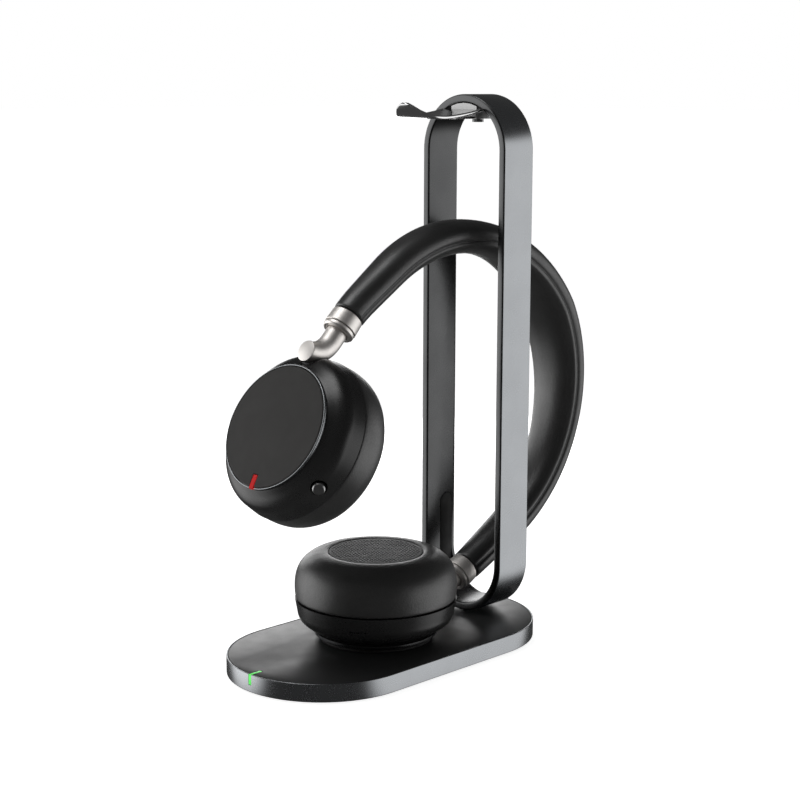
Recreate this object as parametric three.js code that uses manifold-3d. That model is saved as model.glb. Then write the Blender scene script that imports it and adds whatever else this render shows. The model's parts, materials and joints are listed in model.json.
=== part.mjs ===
// Wireless office headset docked on its charging stand.
// Millimetres, +Z up. The origin is the centre of the base's underside. The loop of the stand is at +Y,
// the status light at -Y, and the headband passes between the loop's two legs (+X and -X).
import * as THREE from "three";
import { mergeVertices } from "three/addons/utils/BufferGeometryUtils.js";
import Module from "manifold-3d";

const wasm = await Module();
wasm.setup();

// Driving dimensions ---------------------------------------------------------------------------------
const GAP = 0.3; // running gap between neighbouring pieces
const ROUND = 32; // sides of a large turned piece
const MEDIUM = 20; // sides of a middling one
const SMALL = 12; // sides of a small one

const BASE = { length: 168, width: 90, top: 9.3, wall: 3, lip: 0.6, panel: 1.6 };
const LOOP = { y: 62, strap: 20.3, thick: 3.75, halfWidth: 26.2, top: 261.4 };
const LOOP_FOOT = BASE.top + GAP;
const BOLT_Y = [57, 67];
const DOCK = { y: -6, discZ: 11.7, puckR: 27, stemR: 24 };

const AXIS_DEG = 31; // the headset's line of symmetry, above the horizontal
const BAND = { radius: 79.45, lean: 3, straight: 20.5, tip: 7.5, wide: 16.2, thick: 8.6 };
const HOOK = { upper: 11, lower: 4, length: 15 }; // degrees that each leg's end bends in towards its collar
const LEATHER_START = 4.4; // where the leather begins, up the leg from the collar
const SEAM_SHARE = -0.2; // the side seam's height in the band's section, as a share of the half thickness

const CUP = { discR: 28.3, faceH: 1.9, seamH: 17, seamR: 38.1, top: 39.7, innerR: 22.4 };
const ROD = { r: 5, capT: 36.6, capH: 2.2, inside: 13.5 };
const ARM = { upper: { bend: 12.9, neck: 10.8 }, lower: { bend: 8.4, neck: 18.2 } };
const PIN = { t: 26.5, h: 9, r: 1.4 };
const KEY = { angle: -34, r: 36.9, h: 9.3, tilt: 55, knobR: 2.9 };

const rad = THREE.MathUtils.degToRad;
const AXIS = rad(AXIS_DEG);
const LEAN = rad(BAND.lean);

const headset = new THREE.Group();
headset.name = "headset_on_stand";

// Materials ------------------------------------------------------------------------------------------
function paint(color, roughness, metalness) {
  return () => new THREE.MeshStandardMaterial({ color, roughness, metalness });
}
const gunmetal = paint(0x8c8c93, 0.35, 1);
const nickel = paint(0xc9c5bd, 0.28, 1);
const mirror = paint(0xd8d8da, 0.12, 1);
const steel = paint(0x9a9a9a, 0.4, 1);
const charcoal = paint(0x3d3d3b, 0.6, 0.1);
const black = paint(0x18181a, 0.35, 0);
const leather = paint(0x1d1d1f, 0.55, 0);
const rubber = paint(0x141414, 0.9, 0);
const resin = paint(0x1f4d2b, 0.6, 0);
const copper = paint(0xb06a3a, 0.4, 1);
const battery = paint(0x8a8f98, 0.5, 0.2);
const greenLens = paint(0x6fe06a, 0.3, 0);
const redLens = paint(0xc01a1a, 0.3, 0);

// Shape helpers --------------------------------------------------------------------------------------
function addNode(parent, name, geometry, material) {
  const mesh = new THREE.Mesh(geometry, material());
  mesh.name = name;
  parent.add(mesh);
  return mesh;
}

function bare(geometry) {
  const g = geometry.clone();
  g.deleteAttribute("normal");
  g.deleteAttribute("uv");
  return mergeVertices(g, 1e-4);
}

// Turns the faces outward when a profile was drawn the other way round.
function outward(geometry) {
  const g = bare(geometry);
  const p = g.getAttribute("position");
  const kept = [];
  const a = new THREE.Vector3();
  const b = new THREE.Vector3();
  const c = new THREE.Vector3();
  let volume = 0;
  for (let i = 0; i < g.index.count; i += 3) {
    const [ia, ib, ic] = [0, 1, 2].map((k) => g.index.getX(i + k));
    if (ia === ib || ib === ic || ic === ia) continue;
    a.fromBufferAttribute(p, ia);
    b.fromBufferAttribute(p, ib);
    c.fromBufferAttribute(p, ic);
    volume += a.dot(b.cross(c));
    kept.push([ia, ib, ic]);
  }
  const order = volume < 0 ? kept.map((f) => [f[0], f[2], f[1]]) : kept;
  g.setIndex(order.flat());
  g.computeVertexNormals();
  return g;
}

function toSolid(geometry) {
  const g = outward(geometry);
  return new wasm.Manifold(
    new wasm.Mesh({
      numProp: 3,
      vertProperties: new Float32Array(g.getAttribute("position").array),
      triVerts: new Uint32Array(g.index.array),
    }),
  );
}

function fromSolid(solid) {
  const mesh = solid.getMesh();
  const g = new THREE.BufferGeometry();
  g.setAttribute("position", new THREE.BufferAttribute(new Float32Array(mesh.vertProperties), 3));
  g.setIndex(new THREE.BufferAttribute(new Uint32Array(mesh.triVerts), 1));
  g.computeVertexNormals();
  return g;
}

function cut(body, ...tools) {
  return fromSolid(tools.reduce((s, tool) => s.subtract(toSolid(tool)), toSolid(body)));
}

function join(...bodies) {
  return fromSolid(bodies.map(toSolid).reduce((s, other) => s.add(other)));
}

// Turned about Z from a profile of [radius, z] points.
function turned(profile, sides = ROUND) {
  const points = profile.map(([r, z]) => new THREE.Vector2(r, z));
  const onAxis = points[0].x === 0 && points.at(-1).x === 0;
  if (!onAxis) points.push(points[0].clone());
  return outward(new THREE.LatheGeometry(points, sides).rotateX(Math.PI / 2));
}

function cylinder(r, z0, z1, x = 0, y = 0, sides = SMALL) {
  const g = new THREE.CylinderGeometry(r, r, z1 - z0, sides);
  return g.rotateX(Math.PI / 2).translate(x, y, (z0 + z1) / 2);
}

function block(x0, x1, y0, y1, z0, z1) {
  const g = new THREE.BoxGeometry(x1 - x0, y1 - y0, z1 - z0);
  return g.translate((x0 + x1) / 2, (y0 + y1) / 2, (z0 + z1) / 2);
}

// A closed outline with straight long sides and half-round ends, the long side along the shape's Y.
function racetrack(halfWidth, halfLength, centreY = 0) {
  const straight = halfLength - halfWidth;
  const shape = new THREE.Shape();
  shape.absarc(0, centreY + straight, halfWidth, 0, Math.PI, false);
  shape.absarc(0, centreY - straight, halfWidth, Math.PI, 2 * Math.PI, false);
  shape.closePath();
  return shape;
}

function slab(shape, z0, z1, curveSegments = 12) {
  const g = new THREE.ExtrudeGeometry(shape, { depth: z1 - z0, bevelEnabled: false, curveSegments });
  return g.translate(0, 0, z0);
}

// A skin through rings of points, closed by flat ends; each ring's 2D outline triangulates its end.
function loft(rings, outlines) {
  const n = rings[0].length;
  const index = [];
  for (let i = 0; i + 1 < rings.length; i++) {
    for (let k = 0; k < n; k++) {
      const next = (k + 1) % n;
      const [a, b] = [i * n + k, i * n + next];
      index.push(a, b, b + n, a, b + n, a + n);
    }
  }
  const last = (rings.length - 1) * n;
  const cap = (outline) => THREE.ShapeUtils.triangulateShape(outline.map((p) => p.clone()), []);
  cap(outlines[0]).forEach(([a, b, c]) => index.push(a, c, b));
  cap(outlines.at(-1)).forEach(([a, b, c]) => index.push(last + a, last + b, last + c));
  const g = new THREE.BufferGeometry();
  g.setAttribute("position", new THREE.Float32BufferAttribute(rings.flat().flatMap((p) => p.toArray()), 3));
  g.setIndex(index);
  return outward(g);
}

// Stand ----------------------------------------------------------------------------------------------
const stand = new THREE.Group();
headset.add(stand);

function baseOutline(inset) {
  return racetrack(BASE.width / 2 - inset, BASE.length / 2 - inset);
}

const POSTS = [-1, 1].flatMap((sx) => [-50, 40].map((y) => [sx * 33, y]));
const LIGHT = { half: 0.75, back: -77.2, low: 4.6 };

function buildBase() {
  const ledge = BASE.top - BASE.panel - GAP;
  const ring = (inset, z0, z1) =>
    cut(slab(baseOutline(0), z0, z1), slab(baseOutline(inset), z0 - 1, z1 + 1));
  const front = -BASE.length / 2;
  const notch = LIGHT.half + GAP;
  const usbHole = block(-4.9, 4.9, BASE.length / 2 - 6, BASE.length / 2 + 2, 3.4, 7.2);
  const rim = cut(
    join(ring(BASE.wall, 1, ledge), ring(BASE.lip, ledge - 0.05, BASE.top)),
    block(-notch, notch, front - 1, front + 5, LIGHT.low - GAP, BASE.top + 1),
    usbHole,
  );
  addNode(stand, "base_rim", rim, gunmetal);

  const boltHoles = BOLT_Y.map((y) => cylinder(1.9, 0, 20, 0, y));
  const posts = POSTS.map(([x, y]) => cylinder(3, 3, ledge + 0.4, x, y));
  const pilots = POSTS.map(([x, y]) => cylinder(1.3, 2, 6.5, x, y, 8));
  const panelPlate = slab(baseOutline(BASE.lip + GAP), ledge + GAP, BASE.top);
  const lightSlot = block(-notch, notch, front - 1, LIGHT.back + GAP, 0, 20);
  const panel = cut(
    join(panelPlate, ...posts),
    ...pilots,
    cylinder(DOCK.stemR + GAP, 0, 20, 0, DOCK.y, ROUND),
    lightSlot,
    ...boltHoles,
  );
  addNode(stand, "base_top_panel", panel, charcoal);

  const light = join(
    block(-LIGHT.half, LIGHT.half, front + 0.1, LIGHT.back, ledge + GAP, BASE.top),
    block(-LIGHT.half, LIGHT.half, front + 0.1, front + 1.4, LIGHT.low, BASE.top),
  );
  addNode(stand, "status_light", light, greenLens);

  const screwHoles = POSTS.flatMap(([x, y]) => [cylinder(1.5, 0, 5, x, y, 8), cylinder(2.9, 0, 1.9, x, y)]);
  const plate = cut(
    join(slab(baseOutline(BASE.wall + GAP), 1, 2.6), cylinder(18, 2.5, 6.6, 0, DOCK.y, ROUND)),
    ...screwHoles,
  );
  addNode(stand, "base_plate", plate, black);
  addNode(stand, "foot_pad", slab(baseOutline(4), 0, 0.7), rubber);
  POSTS.forEach(([x, y], i) => {
    const screw = turned([[0, 1], [2.5, 1], [2.5, 1.7], [1, 1.7], [1, 6], [0, 6]], 8).translate(x, y, 0);
    addNode(stand, `base_screw_${i + 1}`, screw, steel);
  });

  const ballast = cut(
    slab(racetrack(30, 31, 43), 2.9, 6.9),
    ...BOLT_Y.map((y) => cylinder(3.4, 0, 20, 0, y)),
    ...POSTS.map(([x, y]) => cylinder(3.6, 0, 20, x, y)),
    block(-20, 20, 70, 80, 0, 20),
    cylinder(DOCK.stemR + 1, 0, 20, 0, DOCK.y, ROUND),
  );
  addNode(stand, "ballast_plate", ballast, steel);
  addNode(stand, "charger_board", block(-16, 16, 70.4, 77.2, 2.9, 3.9), resin);
  const socket = cut(block(-4.4, 4.4, 75, 83.4, 4.2, 6.9), block(-3.9, 3.9, 77, 90, 4.7, 6.4));
  addNode(stand, "usb_socket", socket, nickel);

  const puck = turned([
    [0, 11.4], [DOCK.puckR - 1, 11.4], [DOCK.puckR, 10.6], [DOCK.puckR, BASE.top + GAP],
    [DOCK.stemR, BASE.top + GAP], [DOCK.stemR, 7.1], [21.6, 7.1], [21.6, 10.1], [0, 10.1],
  ]).translate(0, DOCK.y, 0);
  addNode(stand, "charging_puck", puck, rubber);
  const coil = turned([[9, 8.8], [20.5, 8.8], [20.5, 9.8], [9, 9.8]]).translate(0, DOCK.y, 0);
  addNode(stand, "charging_coil", coil, copper);
}

function buildLoop() {
  const halfHeight = (LOOP.top - LOOP_FOOT) / 2;
  const outline = racetrack(LOOP.halfWidth, halfHeight);
  outline.holes.push(racetrack(LOOP.halfWidth - LOOP.thick, halfHeight - LOOP.thick));
  const strap = slab(outline, -LOOP.strap / 2, LOOP.strap / 2)
    .rotateX(Math.PI / 2)
    .translate(0, LOOP.y, LOOP_FOOT + halfHeight);
  const inner = LOOP.halfWidth - LOOP.thick;
  const insert = { y: LOOP.y + 3.8, half: 4.1, z: 42.5, halfLength: 20.5 };
  const pocket = (grow, x0, x1) =>
    slab(racetrack(insert.half + grow, insert.halfLength + grow), x0, x1, 6)
      .rotateX(Math.PI / 2)
      .rotateZ(Math.PI / 2)
      .translate(0, insert.y, insert.z);
  const sides = [["left", -1], ["right", 1]];
  const pockets = [pocket(GAP, -inner - 1, 1 - inner), pocket(GAP, inner - 1, inner + 1)];
  const blindHoles = [
    ...BOLT_Y.map((y) => cylinder(1.8, 0, LOOP_FOOT + 3.2, 0, y)),
    cylinder(1.6, LOOP.top - LOOP.thick - 2, LOOP.top - 1, 0, LOOP.y),
  ];
  addNode(stand, "loop_frame", cut(strap, ...pockets, ...blindHoles), gunmetal);
  sides.forEach(([side, s]) => {
    const [x0, x1] = [inner - 0.1, inner + 0.7].map((x) => s * x);
    addNode(stand, `leg_insert_${side}`, pocket(0, Math.min(x0, x1), Math.max(x0, x1)), rubber);
  });
  BOLT_Y.forEach((y, i) => {
    const bolt = turned([[0, 5.4], [2.8, 5.4], [2.8, 7.3], [1.5, 7.3], [1.5, 12.2], [0, 12.2]], SMALL);
    addNode(stand, `loop_bolt_${i + 1}`, bolt.translate(0, y, 0), steel);
  });
}

// The perch: a tongue in front of the loop's top with a round, turned-up tip, on a bracket under the strap.
const PERCH = { half: 12.7, back: 51.2, front: 25, thick: 1.6 };

function buildPerch() {
  const top = [
    [PERCH.back, 254.9], [45, 253.7], [38, 252.7], [31, 252], [25, 251.8], [19.5, 252.4], [15.6, 254.2],
    [13.4, 256.6], [12.6, 257.9],
  ];
  const curve = new THREE.SplineCurve(top.map(([y, z]) => new THREE.Vector2(y, z)));
  const line = curve.getPoints(16);
  const under = line.map((p, i) => {
    const t = curve.getTangent(i / 16);
    return new THREE.Vector2(p.x + t.y * -PERCH.thick, p.y + t.x * PERCH.thick);
  });
  const outline = [...line, ...under.reverse()];
  const options = { depth: 2 * PERCH.half, bevelEnabled: false };
  const tray = new THREE.ExtrudeGeometry(new THREE.Shape(outline), options);
  tray.translate(0, 0, -PERCH.half).rotateX(Math.PI / 2).rotateZ(Math.PI / 2);
  const plan = new THREE.Shape();
  plan.absarc(0, PERCH.front, PERCH.half, Math.PI, 2 * Math.PI, false);
  plan.lineTo(PERCH.half, PERCH.back + 2);
  plan.lineTo(-PERCH.half, PERCH.back + 2);
  plan.closePath();
  addNode(stand, "perch_tray", fromSolid(toSolid(tray).intersect(toSolid(slab(plan, 245, 265)))), mirror);

  const innerTop = LOOP.top - LOOP.halfWidth;
  const bore = LOOP.halfWidth - LOOP.thick - GAP;
  const arch = cylinder(bore, -11, 11, 0, 0, ROUND).rotateX(Math.PI / 2).translate(0, LOOP.y - 1, innerTop);
  const body = toSolid(block(-8, 8, 52, 67, 250, 260)).intersect(toSolid(arch));
  const arm = block(-6, 6, 40, 53, 250, 251);
  const bracket = cut(fromSolid(body.add(toSolid(arm))), cylinder(1.6, 240, 260, 0, LOOP.y));
  addNode(stand, "perch_bracket", bracket, steel);
  const screwProfile = [[0, 248.3], [2.8, 248.3], [2.8, 249.7], [1.3, 249.7], [1.3, 259.8], [0, 259.8]];
  const screw = turned(screwProfile, SMALL);
  addNode(stand, "perch_screw", screw.translate(0, LOOP.y, 0), steel);
}

// Ear cups: each in its own frame, with +Z out of the disc, +Y towards the arm, origin at the disc's centre.
const direction = (angle) => new THREE.Vector3(0, Math.cos(angle), Math.sin(angle));
const along = direction(AXIS);
const across = direction(AXIS + Math.PI / 2);

// The headband's centreline, in mm along and across the line of symmetry from the crown's centre.
const ARC = BAND.radius * (Math.PI / 2 + LEAN);
const HALF = ARC + BAND.straight + HOOK.length;
const hookRadius = (side) => HOOK.length / rad(HOOK[side]);

function bandLine(fromCrown, side) {
  const hook = hookRadius(side);
  const turn = Math.min(fromCrown, ARC) / BAND.radius;
  const straight = THREE.MathUtils.clamp(fromCrown - ARC, 0, BAND.straight);
  const bend = Math.max(fromCrown - ARC - BAND.straight, 0) / hook;
  const end = turn + bend;
  return {
    u: BAND.radius * Math.cos(turn) - straight * Math.sin(turn) + hook * (Math.cos(end) - Math.cos(turn)),
    v: BAND.radius * Math.sin(turn) + straight * Math.cos(turn) + hook * (Math.sin(end) - Math.sin(turn)),
    turn: end,
  };
}

// Each arm leaves the cup square to its disc, bends through armAngle and runs straight into its collar.
const armAngle = (side) => Math.PI / 2 - (AXIS - LEAN - rad(HOOK[side]));
const armStep = (side) => new THREE.Vector3(0, Math.sin(armAngle(side)), -Math.cos(armAngle(side)));

function armPoint(side, angle, straight = 0) {
  const { bend } = ARM[side];
  const out = ROD.capT + bend * (1 - Math.cos(angle));
  const p = new THREE.Vector3(0, out, -ROD.capH - bend * Math.sin(angle));
  return p.addScaledVector(armStep(side), straight);
}

const collarPoint = (side) => armPoint(side, armAngle(side), ARM[side].neck);
const turnLower = new THREE.Quaternion().setFromAxisAngle(new THREE.Vector3(0, 1, 0), Math.PI);
const turnUpper = new THREE.Quaternion().setFromAxisAngle(new THREE.Vector3(1, 0, 0), 2 * AXIS);

// The docked cup fixes its collar, that collar the headband, and the headband the raised cup.
const lowerDisc = new THREE.Vector3(0, DOCK.y, DOCK.discZ);
const lowerCollar = collarPoint("lower").applyQuaternion(turnLower).add(lowerDisc);
const lowerEnd = bandLine(HALF, "lower");
const bandCentre = lowerCollar.clone().addScaledVector(along, -lowerEnd.u)
  .addScaledVector(across, lowerEnd.v);
const upperEnd = bandLine(HALF, "upper");
const upperCollar = bandCentre.clone().addScaledVector(along, upperEnd.u)
  .addScaledVector(across, upperEnd.v);
const upperDisc = upperCollar.clone().sub(collarPoint("upper").applyQuaternion(turnUpper));

const lowerCup = new THREE.Group();
lowerCup.position.copy(lowerDisc);
lowerCup.quaternion.copy(turnLower);
const upperCup = new THREE.Group();
upperCup.position.copy(upperDisc);
upperCup.quaternion.copy(turnUpper);
headset.add(lowerCup, upperCup);

// The arm's centreline in the cup's frame: round the elbow from its flat end, then straight.
function armPath(side, straight, steps = 6) {
  const path = [...Array(steps + 1).keys()].map((i) => {
    const angle = (armAngle(side) * i) / steps;
    return { p: armPoint(side, angle), angle };
  });
  path.push({ p: armPoint(side, armAngle(side), straight), angle: armAngle(side) });
  return path;
}

function rodAlong(path, radius, sides = MEDIUM) {
  const outline = [...Array(sides).keys()].map((k) => {
    const a = (2 * Math.PI * k) / sides;
    return new THREE.Vector2(radius * Math.cos(a), radius * Math.sin(a));
  });
  const rings = path.map(({ p, angle }) => {
    const normal = new THREE.Vector3(0, Math.cos(angle), Math.sin(angle));
    return outline.map((q) => p.clone().add(new THREE.Vector3(q.x, 0, 0)).addScaledVector(normal, q.y));
  });
  return loft(rings, path.map(() => outline));
}

// A flat tongue from the hinge pin up into the elbow, thick along X.
function tongue(halfX, grow) {
  const from = new THREE.Vector2(PIN.t, -PIN.h);
  const to = new THREE.Vector2(ROD.capT + 1.2, -6.4);
  const a = Math.atan2(to.y - from.y, to.x - from.x);
  const shape = new THREE.Shape();
  shape.absarc(from.x, from.y, 3.2 + grow, a + Math.PI / 2, a - Math.PI / 2, false);
  shape.absarc(to.x, to.y, 2.4 + grow, a - Math.PI / 2, a + Math.PI / 2, false);
  shape.closePath();
  const g = new THREE.ExtrudeGeometry(shape, { depth: 2 * halfX, bevelEnabled: false, curveSegments: 6 });
  return g.translate(0, 0, -halfX).rotateX(Math.PI / 2).rotateZ(Math.PI / 2);
}

function pinCylinder(r, halfX) {
  return cylinder(r, -halfX, halfX).rotateY(Math.PI / 2).translate(0, PIN.t, -PIN.h);
}

const keyRadial = new THREE.Vector3(Math.cos(rad(KEY.angle)), Math.sin(rad(KEY.angle)), 0);
const keyAxis = keyRadial.clone().multiplyScalar(Math.sin(rad(KEY.tilt))).setZ(Math.cos(rad(KEY.tilt)));
const keyPoint = keyRadial.clone().multiplyScalar(KEY.r).setZ(-KEY.h);

function onKeyAxis(geometry) {
  const turn = new THREE.Quaternion().setFromUnitVectors(new THREE.Vector3(0, 0, 1), keyAxis);
  return geometry.applyQuaternion(turn).translate(...keyPoint.toArray());
}

const MIC = { x: -20, y: -30.6, h: 10.4, holeR: 0.45, pitch: 1.7, count: 5 };

// A short row of holes through the shell's wall, round the cup's axis.
function microphoneHoles() {
  const middle = Math.atan2(MIC.y, MIC.x);
  const step = MIC.pitch / Math.hypot(MIC.x, MIC.y);
  return [...Array(MIC.count).keys()].map((k) => {
    const angle = middle + (k - (MIC.count - 1) / 2) * step;
    return cylinder(MIC.holeR, 30, 40, 0, 0, 6)
      .rotateY(Math.PI / 2)
      .rotateZ(angle)
      .translate(0, 0, -MIC.h);
  });
}

function buildCup(cup, side) {
  const isUpper = side === "upper";
  const lensSlot = block(-1.6, 1.6, -40, -22.4, -1.9, 1);
  const disc = turned([[0, 0], [27.9, 0], [CUP.discR, -0.4], [CUP.discR, -1.4], [0, -1.4]]);
  addNode(cup, `${side}_disc_plate`, isUpper ? cut(disc, lensSlot) : disc, charcoal);
  const trim = turned([[28.6, -0.3], [29, -0.3], [29.2, -0.6], [29.2, -1.6], [28.6, -1.6]]);
  addNode(cup, `${side}_disc_trim`, isUpper ? cut(trim, lensSlot) : trim, gunmetal);

  const shellProfile = [
    [0, -CUP.faceH], [28, -CUP.faceH], [29, -2.5], [31, -3.8], [33.6, -5.4], [35.6, -7.2], [36.7, -9.4],
    [37.2, -12], [CUP.seamR, -CUP.seamH], [36, -CUP.seamH], [34.4, -11.8], [33.5, -10.4], [30.6, -7.5],
    [27.6, -4.8], [26.6, -3.9], [0, -3.9],
  ];
  const tools = [rodAlong(armPath(side, 12), ROD.r + 1.5), tongue(3.1, 1.3)];
  tools.push(...(isUpper ? [onKeyAxis(cylinder(3.7, -8, 6))] : microphoneHoles()));
  addNode(cup, `${side}_cup_shell`, cut(turned(shellProfile), ...tools), black);

  const baffle = turned([[18, -16], [35.2, -16], [35.2, -17.1], [18, -17.1]]);
  addNode(cup, `${side}_baffle`, baffle, black);
  const driver = turned([
    [0, -10.8], [12, -10.8], [12, -15], [17.5, -17.5], [20.6, -17.5], [20.6, -20], [16, -20], [0, -21.4],
  ], MEDIUM);
  addNode(cup, `${side}_driver`, driver, steel);
  const cushion = turned([
    [CUP.innerR, -17.4], [37.9, -17.4], [38.4, -20], [38.4, -24], [37.8, -28], [36.3, -32], [33.1, -35.8],
    [28.9, -38.7], [25.6, -CUP.top], [CUP.innerR, -39],
  ]);
  addNode(cup, `${side}_ear_cushion`, cushion, leather);
  const cover = turned([[0, -37.1], [22, -37.8], [22, -39], [0, -38.4]]);
  addNode(cup, `${side}_speaker_cover`, cover, leather);
  addNode(cup, `${side}_circuit_board`, cylinder(20, -6.8, -5.6, 0, 0, MEDIUM), resin);

  const yoke = cut(block(-6.2, 6.2, 23.4, 28.7, -14.6, -6.8), block(-3.4, 3.4, 23, 29, -13.2, -6));
  const bracket = cut(yoke, pinCylinder(PIN.r + GAP, 10));
  addNode(cup, `${side}_hinge_bracket`, bracket, steel);
  addNode(cup, `${side}_hinge_pin`, pinCylinder(PIN.r, 5.8), steel);

  if (isUpper) {
    addNode(cup, "upper_battery", block(-14, 14, -10, 10, -10.4, -7.1), battery);
    const lens = join(block(-1.2, 1.2, -28.9, -22.8, -1.5, 0), block(-1.2, 1.2, -29.2, -28.2, -1.5, -0.3));
    addNode(cup, "busy_light", lens, redLens);
  } else {
    addNode(cup, "lower_receiver_coil", turned([[12, -4.3], [22, -4.3], [22, -5.1], [12, -5.1]]), copper);
    const mic = cylinder(2.2, -12.4, -9.4, MIC.x * 0.81, MIC.y * 0.81);
    addNode(cup, "lower_microphone", mic, nickel);
  }
}

// The small joystick on the upper cup: a switch box inside, a stem that presses and a knob that rocks.
function buildJoystick(cup) {
  const knob = turned([[0, 1.7], [2.3, 1.7], [KEY.knobR, 1.2], [KEY.knobR, -2], [0, -2]], MEDIUM);
  addNode(cup, "joystick_knob", onKeyAxis(knob), charcoal);
  const stem = turned([[0, -2.3], [2, -2.3], [2, -3.2], [1.1, -3.2], [1.1, -4.4], [0, -4.4]], SMALL);
  addNode(cup, "joystick_stem", onKeyAxis(stem), steel);
  addNode(cup, "joystick_switch", onKeyAxis(block(-2.3, 2.3, -2.3, 2.3, -6.8, -5.5)), black);
}

function buildArm(cup, side) {
  const rod = rodAlong(armPath(side, ARM[side].neck + ROD.inside), ROD.r);
  addNode(cup, `${side}_arm_rod`, cut(join(rod, tongue(2.4, 0)), pinCylinder(PIN.r + GAP, 10)), nickel);

  const collar = new THREE.Group();
  collar.position.copy(collarPoint(side));
  collar.quaternion.setFromUnitVectors(new THREE.Vector3(0, 0, 1), armStep(side));
  cup.add(collar);
  const ringNeck = ROD.r + GAP;
  const ring = turned([
    [ringNeck, -5.6], [6.9, -5.6], [7.6, -4.7], [7.6, -3.3], [6.3, -3.3], [6.3, 0.9], [ringNeck, 0.9],
  ], MEDIUM);
  addNode(collar, `${side}_swivel_ring`, ring, nickel);
  const ferrule = turned([[6.6, -3], [7.6, -3], [7.8, -2.7], [7.5, 3.5], [7.2, 3.8], [6.6, 3.8]], MEDIUM);
  addNode(collar, `${side}_ferrule`, ferrule, nickel);
  const tube = turned([[5.2, 1.2], [5.5, 1.2], [5.5, 11], [5.2, 11]], MEDIUM);
  addNode(collar, `${side}_slide_sleeve`, tube, steel);
}

// Headband: the section grows from the collars towards the crown.

// Point and outward normal at a distance from one collar (0) to the other (2 * HALF).
function bandAt(distance) {
  const sign = distance < HALF ? -1 : 1;
  const { u, v, turn } = bandLine(Math.abs(distance - HALF), sign < 0 ? "lower" : "upper");
  const p = bandCentre.clone().addScaledVector(along, u).addScaledVector(across, sign * v);
  return { p, normal: direction(AXIS + sign * turn) };
}

// How far the arm's straight line runs outside the centreline, at a distance up the leg.
function armOffset(leg, side) {
  const hook = hookRadius(side);
  const turn = Math.min(leg, HOOK.length) / hook;
  const drop = hook * (1 - Math.cos(turn)) + Math.max(leg - HOOK.length, 0) * Math.sin(turn);
  return drop / Math.cos(turn);
}

function bandSection(distance) {
  const w = Math.abs(distance - HALF) / HALF;
  const grow = 1 - Math.pow(w, 1.1);
  const leg = HALF - Math.abs(distance - HALF);
  return {
    a: BAND.tip + (BAND.wide - BAND.tip) * grow,
    b: BAND.tip + (BAND.thick - BAND.tip) * grow,
    power: 2 + 0.6 * grow,
    sleeve: THREE.MathUtils.clamp((17 - leg) / 3, 0, 1), // 1 where the arm is inside
    lift: armOffset(Math.min(leg, 17), distance < HALF ? "lower" : "upper"),
  };
}

function superPoint({ a, b, power }, t) {
  const c = Math.cos(t);
  const s = Math.sin(t);
  const bend = (value) => Math.sign(value) * Math.pow(Math.abs(value), 2 / power);
  return new THREE.Vector2(a * bend(c), b * bend(s));
}

// Half of the section above (part 1) or below (part -1) the side seam, hollowed for the sleeve and spring.
function halfSection(distance, part) {
  const s = bandSection(distance);
  const seam = s.b * SEAM_SHARE;
  const level = seam + (part * GAP) / 2;
  const start = Math.asin(Math.sign(level) * Math.pow(Math.abs(level / s.b), s.power / 2));
  const count = 11;
  const outer = [...Array(count).keys()].map((k) => {
    const from = start;
    const to = part > 0 ? Math.PI - start : -Math.PI - start;
    return superPoint(s, from + ((to - from) * k) / (count - 1));
  });
  const bore = 5.9;
  const foot = Math.asin((level - s.lift) / bore);
  const recess = part > 0 ? 1.6 : -0.3;
  const half = 5.6;
  const spots = [[1, 0], [1, 1], [0.6, 1], [0.3, 1], [0, 1], [-0.3, 1], [-0.6, 1], [-1, 1], [-1, 0]];
  const inner = spots.map(([x, up], k) => {
    const from = foot;
    const to = part > 0 ? Math.PI - foot : -Math.PI - foot;
    const angle = from + ((to - from) * k) / (spots.length - 1);
    const round = new THREE.Vector2(bore * Math.cos(angle), s.lift + bore * Math.sin(angle));
    const flat = new THREE.Vector2(half * x, level + recess * up);
    return flat.lerp(round, s.sleeve);
  });
  const outline = [...outer, ...inner.reverse()];
  return part > 0 ? outline : outline.reverse();
}

function stations(from, to, count) {
  return [...Array(count + 1).keys()].map((k) => from + ((to - from) * k) / count);
}

function bandLoft(section, distances) {
  const outlines = distances.map(section);
  const rings = distances.map((d, i) => {
    const { p, normal } = bandAt(d);
    const place = (q) => p.clone().add(new THREE.Vector3(q.x, 0, 0)).addScaledVector(normal, q.y);
    return outlines[i].map(place);
  });
  return loft(rings, outlines);
}

function buildHeadband() {
  const firstLeg = [LEATHER_START, 7.5, 10.5, 14, 17, 22, 29];
  const crown = stations(37, 2 * HALF - 37, 22);
  const secondLeg = firstLeg.map((d) => 2 * HALF - d).reverse();
  const distances = [...firstLeg, ...crown, ...secondLeg];
  addNode(headset, "headband_cover", bandLoft((d) => halfSection(d, 1), distances), leather);
  addNode(headset, "headband_pad", bandLoft((d) => halfSection(d, -1), distances), leather);
  const strip = (d) => {
    const low = bandSection(d).b * SEAM_SHARE + 0.45;
    return [[5, low], [5, low + 0.8], [-5, low + 0.8], [-5, low]].map(([x, y]) => new THREE.Vector2(x, y));
  };
  addNode(headset, "headband_spring", bandLoft(strip, stations(23, 2 * HALF - 23, 24)), steel);
}

buildBase();
buildLoop();
buildPerch();
for (const [cup, side] of [[lowerCup, "lower"], [upperCup, "upper"]]) {
  buildCup(cup, side);
  buildArm(cup, side);
}
buildJoystick(upperCup);
buildHeadband();

export default headset;
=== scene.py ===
"""Looks for the office headset on its charging stand: finer surfaces, soft leather and studio light.

Lengths in the shape code are in millimetres and are scaled to metres where a mesh is made.
"""

import json
import math

import bmesh
import bpy
import numpy as np
from mathutils import Matrix, Quaternion, Vector, noise


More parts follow.
